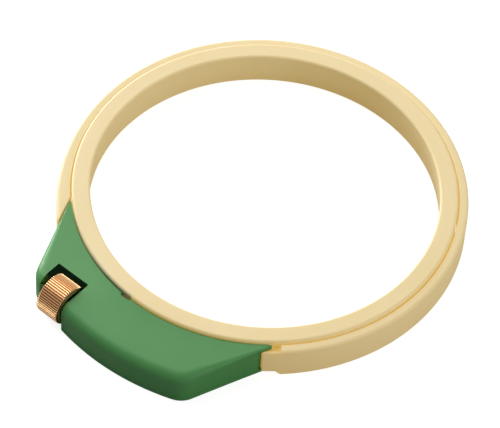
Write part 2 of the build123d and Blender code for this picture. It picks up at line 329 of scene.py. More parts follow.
def tidy_mesh(piece, gap=0.002 * MM):
    """Merges doubles and turns all faces outwards."""
    edit_all(piece)
    bpy.ops.mesh.remove_doubles(threshold=gap)
    bpy.ops.mesh.normals_make_consistent(inside=False)
    close_edit()


def smooth(piece, limit=30):
    """Smooth shading; edges sharper than the limit in degrees are kept, and flat faces stay flat."""
    apply_modifier(piece, "TRIANGULATE", min_vertices=5, ngon_method="CLIP")
    edit_all(piece)
    bpy.ops.mesh.dissolve_degenerate(threshold=0.001 * MM)
    close_edit()
    activate(piece)
    bpy.ops.object.shade_smooth_by_angle(angle=radians(limit))
    apply_modifier(piece, "WEIGHTED_NORMAL", keep_sharp=True, weight=50)


def apply_modifier(piece, kind, **settings):
    """Adds a modifier and applies it."""
    activate(piece)
    modifier = piece.modifiers.new(kind.title(), kind)
    for name, value in settings.items():
        setattr(modifier, name, value)
    bpy.ops.object.modifier_apply(modifier=modifier.name)


def cut(piece, tool, operation="DIFFERENCE"):
    """Cuts, joins or intersects piece with tool, and removes tool."""
    apply_modifier(piece, "BOOLEAN", object=tool, operation=operation, solver="EXACT")
    bpy.data.objects.remove(tool)
    return piece


def ease_edges(piece, width, taper=None, segments=2, limit=35):
    """Rounds every edge sharper than the limit in degrees; taper(place) is an edge's share of the width."""
    mesh = piece.data
    shape = bmesh.new()
    shape.from_mesh(mesh)
    weight = shape.edges.layers.float.new("bevel_weight_edge")
    for edge in shape.edges:
        if edge.is_manifold and edge.calc_face_angle(0) > radians(limit):
            middle = (edge.verts[0].co + edge.verts[1].co) / 2
            edge[weight] = taper(middle) if taper else 1.0
    shape.to_mesh(mesh)
    shape.free()
    apply_modifier(
        piece, "BEVEL", width=width, segments=segments, limit_method="WEIGHT",
        use_clamp_overlap=False, loop_slide=False,
    )


def polar(radius, turn):
    """A point at an angle from -Y, positive towards +X."""
    return Vector((radius * sin(radians(turn)), -radius * cos(radians(turn)), 0.0))


def turn_of(point):
    """The angle of a point, counted as in polar."""
    return degrees(atan2(point.x, -point.y))


def block(name, x0, x1, y0, y1, z0, z1):
    """A box between two corners."""
    deselect_all()
    bpy.ops.mesh.primitive_cube_add(size=1, location=((x0 + x1) / 2, (y0 + y1) / 2, (z0 + z1) / 2))
    bpy.context.active_object.scale = (x1 - x0, y1 - y0, z1 - z0)
    return new_piece(name)


def rod(name, start, end, radius, sides=48):
    """A closed cylinder between two points that differ along X or along Z."""
    deselect_all()
    along = end - start
    bpy.ops.mesh.primitive_cylinder_add(
        vertices=sides, radius=radius, depth=along.length, location=(start + end) / 2,
        rotation=along.to_track_quat("Z", "Y").to_euler(),
    )
    return new_piece(name)


def axis_rod(name, x0, x1, radius, sides=48):
    """A closed cylinder on the screw's axis."""
    start = Vector((x0, knob_axis_y, knob_axis_z))
    return rod(name, start, Vector((x1, knob_axis_y, knob_axis_z)), radius, sides)


def upright_rod(name, x, y, z0, z1, radius):
    """A closed upright cylinder."""
    return rod(name, Vector((x, y, z0)), Vector((x, y, z1)), radius)


def prism(name, outline, z0, z1):
    """A closed prism over a plan outline: a filled circle whose points are led to the outline."""
    deselect_all()
    bpy.ops.mesh.primitive_circle_add(vertices=len(outline), fill_type="NGON", location=(0, 0, 0))
    piece = new_piece(name)
    for vertex, point in zip(piece.data.vertices, outline):
        vertex.co = (point.x, point.y, z0)
    edit_all(piece)
    bpy.ops.mesh.extrude_region_move(TRANSFORM_OT_translate={"value": (0, 0, z1 - z0)})
    bpy.ops.mesh.select_all(action="SELECT")
    bpy.ops.mesh.normals_make_consistent(inside=False)
    close_edit()
    return piece


def section(name, inside, outside, foot, top):
    """An upright rectangle in the XZ plane, ready to be spun round the hoop."""
    deselect_all()
    bpy.ops.mesh.primitive_plane_add(
        size=1, location=((inside + outside) / 2, 0, (foot + top) / 2), rotation=(pi / 2, 0, 0)
    )
    bpy.context.active_object.scale = (outside - inside, top - foot, 1)
    return new_piece(name)


def round_corner(piece, test, width, segments):
    """Rounds the corners of a section that pass the test."""
    edit(piece)
    pick(piece, vertex=lambda v: test(v.co))
    bpy.ops.mesh.bevel(offset=width, segments=segments, profile=0.5, affect="VERTICES")
    close_edit()


def spin_section(piece, start, end, steps):
    """Turns a section to the start angle and sweeps it to the end angle; less than a full turn is capped."""
    closed = abs(end - start) >= 360
    edit_all(piece)
    if closed:
        bpy.ops.mesh.delete(type="ONLY_FACE")
        bpy.ops.mesh.select_all(action="SELECT")
    close_edit()
    piece.data.transform(Matrix.Rotation(radians(start - 90), 4, "Z"))
    edit_all(piece)
    bpy.ops.mesh.spin(
        steps=max(2, round(steps * abs(end - start) / 360)), angle=radians(end - start),
        center=(0, 0, 0), axis=(0, 0, -1),
    )
    close_edit()
    tidy_mesh(piece)
    return piece


# Finishes

def add_node(tree, kind, inputs=None, **settings):
    """Adds a node with its settings and the values of its inputs."""
    made = tree.nodes.new(kind)
    for name, value in settings.items():
        setattr(made, name, value)
    for entry, value in (inputs or {}).items():
        made.inputs[entry].default_value = value
    return made


def link(tree, source, output, target, entry):
    """Joins two sockets."""
    tree.links.new(source.outputs[output], target.inputs[entry])


def remap(tree, source, output, from_min, from_max, to_min=0.0, to_max=1.0):
    """A value led from one range to another."""
    made = add_node(tree, "ShaderNodeMapRange", {
        "From Min": from_min, "From Max": from_max, "To Min": to_min, "To Max": to_max,
    })
    link(tree, source, output, made, "Value")
    return made


def combine(tree, operation, first, first_output, second, second_output):
    """A sum, product or other result of two values."""
    made = add_node(tree, "ShaderNodeMath", operation=operation)
    link(tree, first, first_output, made, 0)
    link(tree, second, second_output, made, 1)
    return made


def flow_marks():
    """Cloudy flow marks of moulded plastic: a mixed colour, a roughness and a fine relief."""
    name = "moulded_surface"
    if name in bpy.data.node_groups:
        return bpy.data.node_groups[name]
    tree = bpy.data.node_groups.new(name, "ShaderNodeTree")
    for side, label, kind in (
        ("INPUT", "Vector", "Vector"), ("INPUT", "Main", "Color"), ("INPUT", "Deep", "Color"),
        ("INPUT", "Cloud Scale", "Float"), ("INPUT", "Grain Scale", "Float"),
        ("INPUT", "Roughness Low", "Float"), ("INPUT", "Roughness High", "Float"),
        ("OUTPUT", "Color", "Color"), ("OUTPUT", "Roughness", "Float"), ("OUTPUT", "Relief", "Float"),
    ):
        tree.interface.new_socket(name=label, in_out=side, socket_type="NodeSocket" + kind)
    start = add_node(tree, "NodeGroupInput")
    end = add_node(tree, "NodeGroupOutput")
    cloud = add_node(tree, "ShaderNodeTexNoise", {"Detail": 3.0, "Roughness": 0.55})
    grain = add_node(tree, "ShaderNodeTexNoise", {"Detail": 2.0})
    mix = add_node(tree, "ShaderNodeMix", data_type="RGBA")
    spread = remap(tree, cloud, "Fac", 0.3, 0.7)
    for source, output, target, entry in (
        (start, "Vector", cloud, "Vector"), (start, "Cloud Scale", cloud, "Scale"),
        (start, "Vector", grain, "Vector"), (start, "Grain Scale", grain, "Scale"),
        (cloud, "Fac", mix, "Factor"), (start, "Main", mix, "A"), (start, "Deep", mix, "B"),
        (start, "Roughness Low", spread, "To Min"), (start, "Roughness High", spread, "To Max"),
        (mix, "Result", end, "Color"), (spread, "Result", end, "Roughness"), (grain, "Fac", end, "Relief"),
    ):
        link(tree, source, output, target, entry)
    return tree


def base_material(name):
    """A node material with its principled shader and object coordinates."""
    material = bpy.data.materials.new(name)
    material.use_nodes = True
    tree = material.node_tree
    return material, tree, tree.nodes["Principled BSDF"], add_node(tree, "ShaderNodeTexCoord")


def plastic(name, main, deep, roughness, cloud_scale, grain_scale, relief, gloss, scatter=0.0, glow=None):
    """Moulded plastic with flow marks, uneven gloss and a fine grain; glow is painted warm light that the
    plastic sends out, brightening its shaded sides.
    """
    material, tree, shader, place = base_material(name)
    surface = add_node(tree, "ShaderNodeGroup", {
        "Main": (*main, 1), "Deep": (*deep, 1), "Cloud Scale": cloud_scale, "Grain Scale": grain_scale,
        "Roughness Low": roughness[0], "Roughness High": roughness[1],
    }, node_tree=flow_marks())
    bump = add_node(tree, "ShaderNodeBump", {"Strength": relief, "Distance": GRAIN_HEIGHT})
    link(tree, place, "Object", surface, "Vector")
    link(tree, surface, "Color", shader, "Base Color")
    link(tree, surface, "Roughness", shader, "Roughness")
    link(tree, surface, "Relief", bump, "Height")
    link(tree, bump, "Normal", shader, "Normal")
    shader.inputs["Specular IOR Level"].default_value = gloss
    if scatter:
        shader.inputs["Subsurface Weight"].default_value = scatter
        shader.inputs["Subsurface Radius"].default_value = SCATTER_RADII
        shader.inputs["Subsurface Scale"].default_value = SCATTER_DEPTH
    # Painted light: the plastic's colour times the warm glow colour is sent out as emission, so the shaded
    # sides glow warm though no lamp lights them.
    if glow:
        masked_painted_glow = add_node(tree, "ShaderNodeMix", {"A": (*glow, 1), "B": (0, 0, 0, 1)}, data_type="RGBA")
        # Painted shade: the warm glow is taken away in the rings' gap beside the housing's fixed half.
        link(tree, painted_gap_shade(tree, place), "Value", masked_painted_glow, "Factor")
        painted_glow_colour = add_node(tree, "ShaderNodeMix", {"Factor": 1.0}, data_type="RGBA", blend_type="MULTIPLY")
        link(tree, surface, "Color", painted_glow_colour, "A")
        link(tree, masked_painted_glow, "Result", painted_glow_colour, "B")
        link(tree, painted_glow_colour, "Result", shader, "Emission Color")
        shader.inputs["Emission Strength"].default_value = 1.0
    return material


def metal(name, main, dark, roughness, scale, stretch, painted_shade_mask=None):
    """Turned metal: fine tool marks round the X axis, soil in cloudy patches, and painted shade where the
    given mask says.
    """
    material, tree, shader, place = base_material(name)
    mapping = add_node(tree, "ShaderNodeMapping", {"Scale": stretch})
    marks = add_node(tree, "ShaderNodeTexNoise", {"Scale": scale, "Detail": 4.0})
    polish = remap(tree, marks, "Fac", 0.0, 1.0, *roughness)
    soil, soil_output = remap(tree, marks, "Fac", 0.35, 0.75, 0.0, MOST_SOIL), "Result"
    # The knob's grooves get painted shade here, on top of the soil patches.
    if painted_shade_mask:
        soil = combine(tree, "MAXIMUM", painted_shade_mask(tree, place), "Value", soil, "Result")
        soil_output = "Value"
    mix = add_node(tree, "ShaderNodeMix", {"A": (*main, 1), "B": (*dark, 1)}, data_type="RGBA")
    bump = add_node(tree, "ShaderNodeBump", {"Strength": 0.25, "Distance": TOOL_MARK_HEIGHT})
    for source, output, target, entry in (
        (place, "Object", mapping, "Vector"), (mapping, "Vector", marks, "Vector"),
        (marks, "Fac", bump, "Height"), (bump, "Normal", shader, "Normal"),
        (soil, soil_output, mix, "Factor"), (mix, "Result", shader, "Base Color"),
        (polish, "Result", shader, "Roughness"),
    ):
        link(tree, source, output, target, entry)
    shader.inputs["Metallic"].default_value = 1.0
    return material


def painted_gap_shade(tree, place):
    """1 in the rings' gap beside the housing's fixed half, where painted shade is put by taking the painted
    glow away. 1 in the rings' gap beside the housing's fixed half, to match the photo's dark stretch at
    rest.
    """
    sizes = bpy.context.scene.hoop_rings
    tip = straight_side(bpy.context.scene.hoop_housing, sign=-1)[0]
    split = add_node(tree, "ShaderNodeSeparateXYZ")
    flat = add_node(tree, "ShaderNodeMapping", {"Scale": (1, 1, 0)})
    reach = add_node(tree, "ShaderNodeVectorMath", operation="LENGTH")
    mid_gap = (inner_high.x + sizes.outer_inside) / 2
    centred = add_node(tree, "ShaderNodeMath", {1: mid_gap}, operation="SUBTRACT")
    away = add_node(tree, "ShaderNodeMath", operation="ABSOLUTE")
    for source, output, target, entry in (
        (place, "Object", split, "Vector"), (place, "Object", flat, "Vector"), (flat, "Vector", reach, 0),
        (reach, "Value", centred, 0), (centred, "Value", away, 0),
    ):
        link(tree, source, output, target, entry)
    half_gap = (sizes.outer_inside - inner_high.x) / 2
    split_end = sizes.moving_lug_left
    near_gap = remap(tree, away, "Value", half_gap, half_gap + sizes.inner_round, 1, 0)
    past_tip = remap(tree, split, "X", tip.x, sizes.fixed_lug_left, 0, 1)
    before_end = remap(tree, split, "X", split_end, split_end + sizes.edge_round, 1, 0)
    in_front = remap(tree, split, "Y", tip.y, tip.y + MM, 1, 0)
    product = combine(tree, "MULTIPLY", near_gap, "Result", past_tip, "Result")
    product = combine(tree, "MULTIPLY", product, "Value", before_end, "Result")
    return combine(tree, "MULTIPLY", product, "Value", in_front, "Result")


def painted_groove_shade(tree, place):
    """Painted shade in the knob's grooves: most at the bottom of the grooves, 0 on the ridges, by the
    distance from the knob's axis.
    """
    sizes = bpy.context.scene.hoop_knob
    split = add_node(tree, "ShaderNodeSeparateXYZ")
    across = add_node(tree, "ShaderNodeCombineXYZ")
    centre = add_node(tree, "ShaderNodeVectorMath", {1: (0, knob_axis_y, knob_axis_z)}, operation="SUBTRACT")
    reach = add_node(tree, "ShaderNodeVectorMath", operation="LENGTH")
    for source, output, target, entry in (
        (place, "Object", split, "Vector"), (split, "Y", across, "Y"), (split, "Z", across, "Z"),
        (across, "Vector", centre, 0), (centre, "Vector", reach, 0),
    ):
        link(tree, source, output, target, entry)
    outer = (knob_high.z - knob_low.z) / 2
    near_ridge = outer - sizes.groove_depth * 0.15
    near_bottom = outer - sizes.groove_depth * 0.85
    inside_chamfer = outer - sizes.chamfer * 1.6
    near_side = outer - sizes.chamfer * 1.2
    grooves = remap(tree, reach, "Value", near_ridge, near_bottom, 0, MOST_GROOVE_SHADE)
    rim_only = remap(tree, reach, "Value", inside_chamfer, near_side)
    return combine(tree, "MULTIPLY", grooves, "Result", rim_only, "Result")


def finish(name):
    """One of the hoop's four finishes, made once."""
    if name in bpy.data.materials:
        return bpy.data.materials[name]
    colours = bpy.context.scene.hoop_colours
    if name == "cream_plastic":
        return plastic(
            name, colours.cream, colours.cream_deep, roughness=(0.4, 0.5), cloud_scale=28.0,
            grain_scale=2600.0, relief=0.12, gloss=0.35, scatter=0.3, glow=colours.cream_painted_light,
        )
    if name == "green_plastic":
        return plastic(
            name, colours.green, colours.green_deep, roughness=(0.4, 0.5), cloud_scale=34.0,
            grain_scale=2400.0, relief=0.16, gloss=0.35,
        )
    if name == "turned_brass":
        return metal(
            name, colours.brass, colours.brass_soil_and_shade, roughness=(0.2, 0.42), scale=900.0,
            stretch=(6.0, 1.0, 1.0), painted_shade_mask=painted_groove_shade,
        )
    return metal(
        name, colours.steel, colours.steel_dark, roughness=(0.22, 0.5), scale=700.0, stretch=(5.0, 1.0, 1.0)
    )


def dress(piece, material_name):
    """Gives piece its finish, in its only material slot."""
    piece.data.materials.clear()
    piece.data.materials.append(finish(material_name))


# Rings

def model_inner_ring(sizes):
    """Plain ring, a shade wider at its foot, with soft upper edges."""
    outside = inner_high.x
    top = inner_high.z
    middle = (sizes.opening_radius + outside) / 2
    ring = section("inner_ring_moulding", sizes.opening_radius, outside, 0, top)
    edit(ring)
    pick(ring, vertex=lambda v: v.co.x < middle and v.co.z < top / 2)
    bpy.ops.transform.translate(value=(sizes.opening_draft, 0, 0))
    close_edit()
    round_corner(ring, lambda co: co.z > top / 2, sizes.inner_round, 6)
    round_corner(ring, lambda co: co.z < sizes.inner_chamfer / 2, sizes.inner_chamfer, 2)
    return spin_section(ring, 90, 450, sizes.steps)


def outer_section(name, sizes, outside):
    """The outer ring's section with its rounded shoulder."""
    top = back_high.z
    middle = (sizes.outer_inside + outside) / 2
    profile = section(name, sizes.outer_inside, outside, 0, top)
    round_corner(profile, lambda co: co.x > middle and co.z > top / 2, sizes.shoulder_round, 8)
    edge = sizes.edge_round
    round_corner(profile, lambda co: co.x < middle or co.z < edge / 2, edge, 3)
    return profile


def tongue_heights(housing, sizes):
    """Foot and top of the parts of the ring that run inside the housing."""
    return housing.base + sizes.tongue_clearance, cover_high.z - housing.roof - sizes.tongue_clearance


def tongue(name, sizes, housing, outside, start, end):
    """The lower part of a ring's end that runs inside the housing."""
    foot, top = tongue_heights(housing, sizes)
    strip = section(name, sizes.outer_inside, outside, foot, top)
    return spin_section(strip, start, end, sizes.steps)


def swell_outside(piece, sizes, limit):
    """Leads the outer side of the fixed end out to an arc with a shifted centre, up to a limit."""
    centre = polar(-sizes.swell_offset, sizes.swell_angle)
    plain_radius = back_high.x
    arc = plain_radius + sizes.swell_offset
    middle = (sizes.outer_inside + plain_radius) / 2
    for vertex in piece.data.vertices:
        place = Vector((vertex.co.x, vertex.co.y, 0))
        if place.length > middle and sizes.swell_angle < turn_of(place) < 0:
            way = place.normalized()
            along = way.dot(centre)
            reach = along + (arc ** 2 - centre.length_squared + along ** 2) ** 0.5
            vertex.co += way * (min(reach, limit) - plain_radius)


def lug(name, x0, x1, housing, sizes, bore):
    """The block on a tongue's end that takes the screw."""
    foot, top = tongue_heights(housing, sizes)
    front = housing.front_radius - housing.wall - sizes.lug_front_gap
    inside = sizes.outer_inside + sizes.lug_back
    steps = 8
    across = [x0 + (x1 - x0) * step / steps for step in range(steps + 1)]
    outline = [Vector((x, -(front ** 2 - x ** 2) ** 0.5)) for x in across]
    outline += [Vector((x, -(inside ** 2 - x ** 2) ** 0.5)) for x in reversed(across)]
    return cut(prism(name, outline, foot, top), axis_rod("bore", x0 - OVER, x1 + OVER, bore))


def pocket(housing, sizes):
    """The space over the moving end's tongue, between the inner ring and the lip."""
    outer = back_high.x - sizes.lip_wall
    steps = 16
    before_lip = 2
    span = sizes.shoulder_angle - sizes.lip_angle + before_lip
    turns = [sizes.lip_angle - before_lip + span * step / steps for step in range(steps + 1)]
    outline = [polar(outer, turn) for turn in turns]
    outline += [polar(WELL_INSIDE * outer, turn) for turn in reversed(turns)]
    return prism("pocket", outline, tongue_heights(housing, sizes)[1], 2 * cover_high.z)


def ramp(housing, sizes):
    """The space under the moving end's shoulder, with a slope of 45 degrees."""
    lift = tongue_heights(housing, sizes)[0]
    away = 10 * lift
    profile = [Vector((lift, -lift)), Vector((-lift, lift)), Vector((-away, lift)), Vector((-away, -lift))]
    space = prism("ramp", profile, sizes.outer_inside / 2, 2 * sizes.outer_inside)
    outward = polar(1.0, sizes.shoulder_angle)
    along = polar(1.0, sizes.shoulder_angle + 90)
    space.data.transform(Matrix((along, Vector((0, 0, 1)), outward)).transposed().to_4x4())
    tidy_mesh(space)
    return space


# Housing

def straight_side(housing, sign=1, inset=0.0, turn_in=0.0):
    """The housing's right (1) or left (-1) straight side: tip, corner, the way between them and outwards."""
    tip = polar(housing.inner_radius, sign * housing.tip_angle)
    corner = polar(housing.front_radius - inset, sign * (housing.corner_angle - turn_in))
    side = (corner - tip).normalized()
    return tip, corner, side, Vector((-side.y, side.x, 0)) * sign


def housing_outline(housing, inset=0.0, share_in=0.0, front_points=60, corner_points=12, side_points=14):
    """Plan of the housing, point by point: inner arc, right side, front with its corners, left side."""
    tip, corner, side, outward = straight_side(housing, inset=inset, turn_in=housing.crown_turn * share_in)
    front = housing.front_radius - inset
    radius = housing.corner_round * (1 - CORNER_TIGHTENING * share_in)
    # The corner's arc touches the front arc from inside and the straight side
    start = tip - outward * radius
    along = start.dot(side)
    reach = -along + (along ** 2 - start.length_squared + (front - radius) ** 2) ** 0.5
    centre = start + side * reach
    touch_side = centre + outward * radius
    touch_front = centre.normalized() * front
    first = turn_of(touch_front - centre)
    last = turn_of(touch_side - centre)
    blunt = tip_cut_point(housing, tip, corner)
    right = [blunt.lerp(touch_side, i / side_points) for i in range(side_points)]
    right += [centre + polar(radius, last + (first - last) * i / corner_points) for i in range(corner_points)]
    front_turn = turn_of(touch_front)
    right += [polar(front, front_turn * (1 - i / front_points)) for i in range(front_points)]
    left = [Vector((-point.x, point.y, 0)) for point in reversed(right)]
    inner = [
        polar(housing.inner_radius, -housing.tip_cut + 2 * housing.tip_cut * i / front_points)
        for i in range(front_points)
    ]
    return inner + right + [polar(front, 0)] + left


def tip_cut_point(housing, tip, corner):
    """Where the straight side meets the line that blunts the tip."""
    way = polar(1.0, housing.tip_cut)
    side = corner - tip
    cross = way.x * side.y - way.y * side.x
    return tip + side * (-(way.x * tip.y - way.y * tip.x) / cross)


def crown_scale(housing, point):
    """How much of the crown's height a point of the rim gets: little at the tips, all at the front."""
    depth = (hypot(point.x, point.y) - housing.inner_radius) / (housing.front_radius - housing.inner_radius)
    return max(TIP_CROWN, min(1.0, depth))


def window_places(housing):
    """The window's left, right and back faces."""
    left = housing.window_side_wall - housing.front_radius * sin(radians(housing.corner_angle))
    back = knob_axis_y + (knob_high.z - knob_low.z) / 2 + housing.window_gap
    return left, left + housing.window_width, back


def crowned_block(housing, top):
    """The cover's outside as one solid: an upright wall, then bands that lean in up to the flat top."""
    outline = housing_outline(housing)
    points = len(outline)
    cover = prism("cover_moulding", outline, housing.base, top - housing.crown_height)
    for step in range(1, housing.crown_steps + 1):
        lean = radians(90 * step / housing.crown_steps)
        inset = 1 - cos(lean)
        plan = housing_outline(housing, housing.crown_width * inset, inset)
        edit(cover, "FACE")
        lowest = max(v.co.z for v in cover.data.vertices) - 2 * housing.crown_height
        pick(cover, face=lambda f: f.normal.z > 0.5 and len(f.verts) == points
             and f.calc_center_median().z > lowest)
        bpy.ops.mesh.extrude_region_move(TRANSFORM_OT_translate={"value": (0, 0, 0.1 * MM)})
        close_edit()
        rim = [v for v in cover.data.vertices if v.select]
        for vertex, point, foot in zip(rim, plan, outline):
            drop = housing.crown_height * crown_scale(housing, foot)
            vertex.co = (point.x, point.y, top - drop * (1 - sin(lean)))
    for vertex, foot in zip(cover.data.vertices[points:2 * points], outline):
        vertex.co.z = top - housing.crown_height * crown_scale(housing, foot)
    tidy_mesh(cover)
    return cover


def model_cover(housing, sizes):
    """The housing's shell: crowned skin, hollow, mouths for the tongues, window and bearings."""
    top = cover_high.z
    cover = crowned_block(housing, top)
    left, right, back = window_places(housing)
    for space in model_spaces(housing, sizes, left, right, back):
        cut(cover, space)
    cut(cover, block("window", left, right, -FAR, back, -FAR, FAR))
    for x0, x1, radius in bearing_places(left, right, housing):
        cut(cover, block("slot", x0, x1, knob_axis_y - radius, knob_axis_y + radius, -FAR, knob_axis_z))
        cut(cover, axis_rod("bearing", x0, x1, radius))
    for x, y, radius in boss_places(housing):
        cut(cover, upright_rod("boss", x, y, housing.base, top - housing.roof / 2, radius), "UNION")
        cut(cover, upright_rod("pilot", x, y, housing.base - OVER, PILOT_TOP, PILOT_RADIUS))
    notch_back = -(housing.inner_radius + housing.split_notch)
    foot = top - 3 * housing.roof
    return cut(cover, block("notch", sizes.fixed_lug_right, sizes.moving_lug_left, notch_back, 0, foot, FAR))


def bearing_places(left, right, housing):
    """The chamber's two side walls that carry the screw, with the bearing's radius."""
    screw = bpy.context.scene.hoop_screw
    return (
        (left - housing.chamber_wall, left, screw.journal_radius + BEARING_PLAY),
        (right, right + housing.chamber_wall, screw.radius + BEARING_PLAY),
    )


def boss_places(housing):
    """The two screw bosses and the fixed lug's peg."""
    sides = [polar(housing.boss_distance, turn) for turn in (-housing.boss_angle, housing.boss_angle)]
    peg = (housing.peg_x, housing.peg_y, housing.boss_radius - PEG_PLAY)
    return [(side.x, side.y, housing.boss_radius) for side in sides] + [peg]


def model_spaces(housing, sizes, left, right, back):
    """The hollow inside the shell, the tongues' passages and the mouth, less the chamber round the knob."""
    roof = cover_high.z - housing.roof
    front = housing.front_radius - housing.wall
    tip, corner, side, outward = straight_side(housing)
    line_start = corner - outward * housing.wall
    along = line_start.dot(-side)
    high = line_start - side * (-along - (along ** 2 - line_start.length_squared + front ** 2) ** 0.5)
    low = tip - outward * housing.wall - side * 10 * MM
    turn = turn_of(high)
    steps = 40
    arc = [polar(front, turn - 2 * turn * step / steps) for step in range(steps + 1)]
    spaces = [prism("hollow", [low] + arc + [Vector((-low.x, low.y, 0))], -OVER, roof)]
    # Each space ends a little deeper and higher than the last, so that no two faces lie in one plane
    inside = WELL_INSIDE * housing.inner_radius
    for wall, start, end in ((sizes.moving_tongue_wall, 10, 50), (sizes.fixed_tongue_wall, -50, -10)):
        outside = sizes.outer_inside + wall + housing.mouth_clearance
        passage = section("passage", inside, outside, -2 * OVER, roof + 0.01 * MM)
        spaces.append(spin_section(passage, start, end, sizes.steps))
    near, past = housing.mouth_angle, 1.4 * housing.mouth_angle
    mouth = [polar(inside, near), polar(front, near), polar(front, past), polar(inside, past)]
    spaces.append(prism("mouth", mouth, -3 * OVER, roof + 0.02 * MM))
    chamber_left, chamber_right = left - housing.chamber_wall, right + housing.chamber_wall
    for space in spaces:
        cut(space, block(
            "chamber", chamber_left, chamber_right, -FAR, back + housing.chamber_back_wall, -FAR, FAR
        ))
    return spaces


def model_base(housing):
    """The base plate with the knob's notch, saddles under the screw and countersunk holes."""
    plate = prism("base_moulding", housing_outline(housing), 0, housing.base)
    left, right, back = window_places(housing)
    cut(plate, block("notch", left, right, -FAR, back, -FAR, FAR))
    screw = bpy.context.scene.hoop_screw
    for x0, x1, radius in bearing_places(left, right, housing):
        near, past = knob_axis_y - radius, knob_axis_y + radius
        saddle = block("saddle", x0, x1, near, past, housing.base / 2, knob_axis_z - radius / 2)
        cut(saddle, axis_rod("shaft", x0 - OVER, x1 + OVER, radius))
        cut(plate, saddle, "UNION")
    hole = screw.shank_radius + HOLE_PLAY
    sink = screw.head_height + SINK_PLAY
    for x, y, _ in boss_places(housing):
        deselect_all()
        bpy.ops.mesh.primitive_cone_add(
            vertices=48, radius1=screw.head_radius + HEAD_PLAY, radius2=hole, depth=sink,
            location=(x, y, sink / 2),
        )
        cut(plate, new_piece("countersink"))
        cut(plate, upright_rod("hole", x, y, -OVER, 2 * housing.base, hole))
    return plate


# Knob and screw

def model_knob(sizes):
    """Thumb wheel: a cylinder with chamfered rims whose side is pressed into grooves."""
    radius = (knob_high.z - knob_low.z) / 2
    knob = axis_rod("thumb_knob", knob_low.x, knob_high.x, radius, sides=sizes.ridges * 4)
    edit(knob, "EDGE")
    pick(knob, edge=lambda e: abs(e.verts[0].co.x - e.verts[1].co.x) < 0.1 * MM)
    bpy.ops.mesh.bevel(offset=sizes.chamfer, segments=2, profile=0.5, affect="EDGES")
    close_edit()
    flat = sizes.chamfer * 0.9
    edit(knob)
    pick(knob, vertex=lambda v: in_groove(v.co, sizes, flat))
    squeeze = 1 - sizes.groove_depth / radius
    middle = ((knob_low.x + knob_high.x) / 2, knob_axis_y, knob_axis_z)
    bpy.ops.transform.resize(value=(1, squeeze, squeeze), center_override=middle)
    close_edit()
    edit(knob, "FACE")
    pick(knob, face=lambda f: abs(f.normal.x) > 0.99 and len(f.verts) > 8)
    bpy.ops.mesh.inset(thickness=sizes.face_rim, depth=0)
    bpy.ops.mesh.inset(thickness=sizes.face_recess, depth=-sizes.face_recess)
    close_edit()
    return cut(knob, axis_rod("bore", knob_low.x - OVER, knob_high.x + OVER, sizes.bore))


def in_groove(co, sizes, flat):
    """Two points out of four round the knob lie in a groove, away from the chamfers."""
    if co.x < knob_low.x + flat or co.x > knob_high.x - flat:
        return False
    step = degrees(atan2(co.z - knob_axis_z, co.y - knob_axis_y)) / (360 / (sizes.ridges * 4))
    return round(step) % 4 in (0, 1)


def threaded(start, end, radius, depth, pitch, samples):
    """The rows of points along a stretch of thread: place, radius, depth and pitch."""
    rows = round((end - start) / pitch * samples)
    return [(start + (end - start) * row / rows, radius, depth, pitch) for row in range(rows + 1)]


def plain(start, end, radius):
    """The rows of points along a smooth stretch."""
    return [(start, radius, 0, 1), (end, radius, 0, 1)]


def wrapped(name, rows, sides):
    """A solid along the X axis: a sheet rolled up, whose radius follows the rows and the thread's turn."""
    deselect_all()
    bpy.ops.mesh.primitive_grid_add(x_subdivisions=len(rows) - 1, y_subdivisions=sides, size=1)
    piece = new_piece(name)
    for vertex in piece.data.vertices:
        place, radius, depth, pitch = rows[round((vertex.co.x + 0.5) * (len(rows) - 1))]
        turn = vertex.co.y + 0.5
        across = (place / pitch - turn) % 1
        reach = radius - depth * abs(2 * across - 1)
        vertex.co = (place, reach * cos(2 * pi * turn), reach * sin(2 * pi * turn))
    tidy_mesh(piece, gap=0.001 * MM)
    return piece


def model_spindle(sizes):
    """Spindle with a journal, the knob's seat, a thread and the clip's groove."""
    clip_low, clip_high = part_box("retaining_clip")
    core = sizes.radius - sizes.clip_groove
    point = screw_high.x - sizes.end_chamfer
    rows = [(screw_low.x, 0, 0, 1)]
    rows += plain(screw_low.x, knob_low.x, sizes.journal_radius)
    rows += plain(knob_low.x, knob_high.x, sizes.seat_radius)
    rows += threaded(knob_high.x, clip_low.x, sizes.radius, sizes.thread_depth, sizes.pitch, sizes.samples)
    rows += plain(clip_low.x, clip_high.x, core)
    rows += threaded(clip_high.x, point, sizes.radius, sizes.thread_depth, sizes.pitch, sizes.samples)
    rows += [(screw_high.x, core, 0, 1), (screw_high.x, 0, 0, 1)]
    spindle = wrapped("spindle", rows, sizes.sides)
    spindle.data.transform(Matrix.Translation((0, knob_axis_y, knob_axis_z)))
    return spindle


